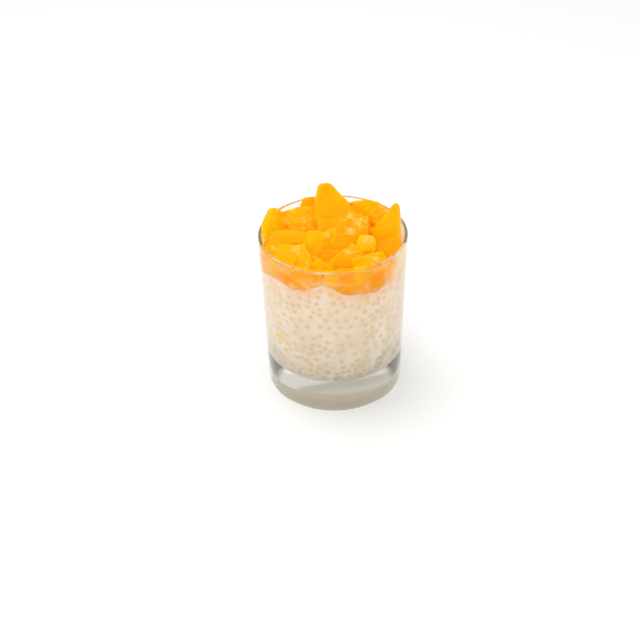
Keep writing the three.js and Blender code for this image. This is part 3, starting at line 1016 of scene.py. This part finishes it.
table_bm = bmesh.new()
under_glass = Matrix.Translation((0, 0, -TABLE_SUNK))
bmesh.ops.create_grid(table_bm, x_segments=1, y_segments=1, size=TABLE, matrix=under_glass)
table_top, tree, shader = principled("pale_table")
ray = tree.nodes.new("ShaderNodeLightPath").outputs
in_front = ranged(tree, object_place(tree)[2], *TABLE_FRONT)
dimmed = worked_out(tree, "MULTIPLY", mirrored_or_bent(tree, ray), in_front)
table_colour = blended(tree, dimmed, TABLE_COLOUR, TABLE_MIRRORED)
tree.links.new(table_colour, shader.inputs["Base Color"])
shader.inputs["Roughness"].default_value = 0.6
table_mesh = mesh_of("table", table_bm)
table_mesh.materials.append(table_top)
table = bpy.data.objects.new("table", table_mesh)
scene.collection.objects.link(table)
table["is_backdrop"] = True

# The studio is white all round. What the glass bends and mirrors has dark cards at both sides,
# which draw its edges, and a grey panel high behind, which the thick bottom picks up.
ROOM = (1, 1, 1)
ROOM_STRENGTH = 0.95
PANEL_EDGE = (0.74, 0.70, 0.67)
PANEL_LOW = (0.52, 0.485, 0.43)
PANEL_HIGH = (0.60, 0.555, 0.49)
PANEL = [  # from its lower edge to its upper one, by how steeply one looks up
    (0.40, ROOM), (0.50, PANEL_EDGE), (0.605, PANEL_EDGE), (0.62, PANEL_LOW),
    (0.64, PANEL_LOW), (0.66, PANEL_HIGH), (0.80, PANEL_HIGH), (0.9, ROOM),
]
PANEL_TILT = [(0, 0), (0.25, 0.035), (0.36, 0.05), (0.46, 0.12)]  # how it rises to the right
PANEL_BEHIND = (0.0, 0.2)
CARD = (0.12, 0.11, 0.09)
CARD_EDGE = (0.545, 0.645)
CARD_LEAN = (0.30, 0.90, 0.18, -0.18)  # the cards lean in at the bottom and out at the top

world = bpy.data.worlds.new("studio")
scene.world = world
world.use_nodes = True
tree = world.node_tree
background = tree.nodes["Background"]
split = tree.nodes.new("ShaderNodeSeparateXYZ")
tree.links.new(tree.nodes.new("ShaderNodeTexCoord").outputs["Generated"], split.inputs[0])
east, north, up = split.outputs
tilt = ramp(tree, east, [(at, (rise,) * 3) for at, rise in PANEL_TILT])
panel = ramp(tree, worked_out(tree, "SUBTRACT", up, tilt), PANEL)
around = blended(tree, ranged(tree, north, *PANEL_BEHIND), ROOM, panel)
leaning = ranged(tree, up, *CARD_LEAN)
sideways = worked_out(tree, "ADD", worked_out(tree, "ABSOLUTE", east), leaning)
around = blended(tree, ranged(tree, sideways, *CARD_EDGE), around, CARD)
ray = tree.nodes.new("ShaderNodeLightPath").outputs
shallow = worked_out(tree, "LESS_THAN", ray["Ray Depth"], TRAPPED_AFTER)
bent = worked_out(tree, "MULTIPLY", mirrored_or_bent(tree, ray), shallow)
tree.links.new(blended(tree, bent, ROOM, around), background.inputs["Color"])
background.inputs["Strength"].default_value = ROOM_STRENGTH

# Four soft boxes hang round the table, the brightest of them overhead and in front. The camera
# looks down on the rim as a diner does.
LIT = Vector((0, 0, 0.05))
SOFT_BOXES = [  # name, place, size, watts
    ("overhead", (-0.25, 0.15, 1.0), 0.5, 2.5),
    ("front_left", (-0.3, -0.95, 0.7), 0.35, 1.9),
    ("left", (-1.0, -0.3, 0.5), 0.9, 0.5),
    ("right", (1.0, -0.3, 0.5), 0.9, 0.6),
]
CAMERA_AT = (0, -0.46262, 0.38309)
CAMERA_DOWN = 36.815  # degrees
CAMERA_ROUND = 0.997
CAMERA_ROLL = -1.477
CAMERA_LENS = 57.24  # millimetres, as its sensor
CAMERA_SENSOR = 36
CAMERA_NEAREST = 0.01
GLASS_BOUNCES = 16
MOST_BOUNCES = 20

for name, at, size, watts in SOFT_BOXES:
    lamp = bpy.data.lights.new(name, "AREA")
    lamp.shape = "RECTANGLE"
    lamp.size = size
    lamp.size_y = size
    lamp.energy = watts
    holder = bpy.data.objects.new(name, lamp)
    holder.location = at
    holder.rotation_euler = (LIT - Vector(at)).to_track_quat("-Z", "Y").to_euler()
    scene.collection.objects.link(holder)

camera_data = bpy.data.cameras.new("camera")
camera_data.lens = CAMERA_LENS
camera_data.sensor_width = CAMERA_SENSOR
camera_data.clip_start = CAMERA_NEAREST
camera = bpy.data.objects.new("camera", camera_data)
scene.collection.objects.link(camera)
camera.matrix_world = (
    Matrix.Translation(CAMERA_AT)
    @ Matrix.Rotation(math.radians(CAMERA_ROUND), 4, "Z")
    @ Matrix.Rotation(math.radians(90 - CAMERA_DOWN), 4, "X")
    @ Matrix.Rotation(math.radians(CAMERA_ROLL), 4, "Z")
)
scene.camera = camera
scene.view_settings.view_transform = "Standard"
scene.cycles.caustics_refractive = False
scene.cycles.caustics_reflective = False
scene.cycles.glossy_bounces = GLASS_BOUNCES
scene.cycles.transmission_bounces = GLASS_BOUNCES
scene.cycles.max_bounces = MOST_BOUNCES

low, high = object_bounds()
